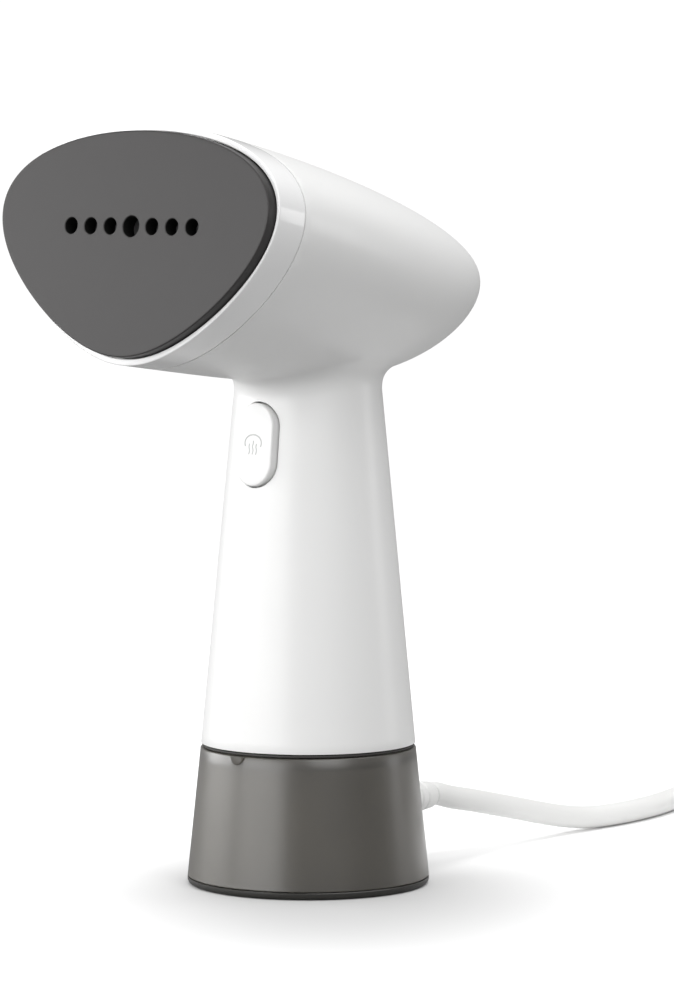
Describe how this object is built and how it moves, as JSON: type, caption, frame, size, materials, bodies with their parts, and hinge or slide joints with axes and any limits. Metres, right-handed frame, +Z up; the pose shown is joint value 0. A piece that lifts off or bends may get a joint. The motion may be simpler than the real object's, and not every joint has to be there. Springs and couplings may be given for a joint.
{
  "type": "handheld garment steamer",
  "caption": "Handheld garment steamer: egg-shaped steam plate on a leaning head, conical grip with a steam button, lift-off smoky water tank as its foot, and a mains lead from the back.",
  "frame": {"origin": "on the floor, at the centre of the tank's underside, below the handle's axis", "axes": "+Z up along the handle, -Y towards the steam face, +X to the right of someone who looks at the steam face from the front"},
  "size_m": [0.1531, 0.3815, 0.221],
  "materials": {
    "white_satin": "satin white moulded plastic",
    "white_gloss": "high-gloss white moulded plastic",
    "white_plastic": "plain moulded",
    "white_rubber": "smooth PVC",
    "smoky_clear": "translucent smoky grey, satin",
    "plate_coating": "dark satin ceramic coating",
    "cast_aluminium": "as cast",
    "steel": "bright",
    "brass": "turned",
    "copper_winding": "enamelled winding in a steel yoke",
    "dark_rubber": "matt",
    "red_silicone": "matt silicone",
    "black_plastic": "moulded",
    "board_green": "solder mask",
    "clear_hose": "translucent silicone"
  },
  "bodies": {
    "steamer": {"main_shell": "white_satin", "front_bezel": "white_gloss", "steam_plate": "plate_coating", "boiler": "cast_aluminium", "heating_element": "steel", "plate_gasket": "red_silicone", "heat_shield": "black_plastic", "thermostat": "black_plastic", "thermal_fuse": "steel", "feed_nozzle": "brass", "circuit_board": "board_green", "microswitch": "black_plastic", "pump_barrel": "white_plastic", "pump_coil": "copper_winding", "pump_mount_lower": "dark_rubber", "pump_mount_upper": "dark_rubber", "dock_base": "white_satin", "dock_screw_l": "steel", "dock_screw_r": "steel", "dock_seal": "dark_rubber", "inlet_pipe": "white_plastic", "suction_hose": "clear_hose", "delivery_hose": "clear_hose", "heater_wire_l": "dark_rubber", "heater_wire_r": "red_silicone", "inner_lead": "white_rubber", "cord_clamp": "black_plastic", "clamp_screw_l": "steel", "clamp_screw_r": "steel", "terminal_block": "white_plastic", "strain_relief": "white_rubber", "mains_cord": "white_rubber", "cord_coil": "white_rubber", "cord_tail": "white_rubber", "plug_body": "white_rubber", "plug_pin_l": "steel", "plug_pin_r": "steel"},
    "button": {"trigger_button": "white_satin"},
    "tank": {"water_tank": "smoky_clear", "tank_floor": "smoky_clear", "coupling_seal": "dark_rubber", "suction_tube": "clear_hose", "suction_filter": "white_plastic"},
    "stopper": {"filler_stopper": "dark_rubber"}
  },
  "joints": [
    {"name": "button_press", "type": "slide", "parent": "steamer", "child": "button", "axis": [0, 0.9955, -0.0948], "range_m": [0, 0.0014], "stiffness_N_per_m": 900, "springref_m": -0.0004},
    {"name": "tank_release", "type": "slide", "parent": "steamer", "child": "tank", "axis": [0, 0, -1], "range_m": [0, 0.045]},
    {"name": "stopper_pull", "type": "slide", "parent": "tank", "child": "stopper", "axis": [0, 0, 1], "range_m": [0, 0.005]}
  ]
}
